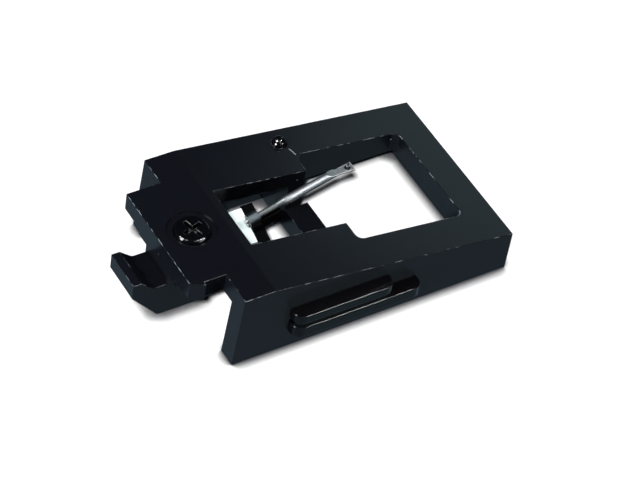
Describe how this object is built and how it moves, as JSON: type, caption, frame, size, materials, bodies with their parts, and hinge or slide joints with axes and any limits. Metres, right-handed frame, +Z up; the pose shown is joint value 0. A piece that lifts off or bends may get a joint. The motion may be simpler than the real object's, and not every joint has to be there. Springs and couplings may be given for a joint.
{
  "type": "turntable stylus",
  "caption": "Replacement turntable stylus: black hollow frame with guard window, hook and ribbed grips, and a sprung cantilever with a diamond needle",
  "frame": {"origin": "middle of the part's outline, on the plane it lies on, at the lower edges of the skirts", "axes": "+X along the frame towards the guard bar and the needle's end, +Y across the frame to the side with the pip, +Z up, the way the needle's tip points in the picture"},
  "size_m": [0.0304, 0.0184, 0.0089],
  "materials": {
    "frame_plastic": "satin",
    "black_screw": "gloss",
    "gloss_black": "gloss",
    "pale_metal": "satin",
    "rubber": "matt",
    "collar_metal": "satin",
    "magnet": "satin",
    "wire": "polished",
    "cantilever_metal": "satin",
    "diamond": "polished"
  },
  "bodies": {
    "frame": {"body": "frame_plastic", "screw": "black_screw", "pip": "gloss_black", "carrier": "pale_metal", "damper": "rubber"},
    "wire": {"tie_wire": "wire"},
    "arm": {"collar": "collar_metal", "magnet": "magnet", "cantilever": "cantilever_metal", "needle": "diamond"}
  },
  "joints": [
    {"name": "needle_sideways", "type": "hinge", "parent": "frame", "child": "wire", "pos_m": [-0.00394, 0, 0.00601], "axis": [0, 0, 1], "range_deg": [-2.5, 2.5], "stiffness_Nm_per_rad": 0.007},
    {"name": "needle_up_down", "type": "hinge", "parent": "wire", "child": "arm", "pos_m": [-0.00394, 0, 0.00601], "axis": [0, 1, 0], "range_deg": [-2.5, 2.5], "stiffness_Nm_per_rad": 0.007}
  ]
}
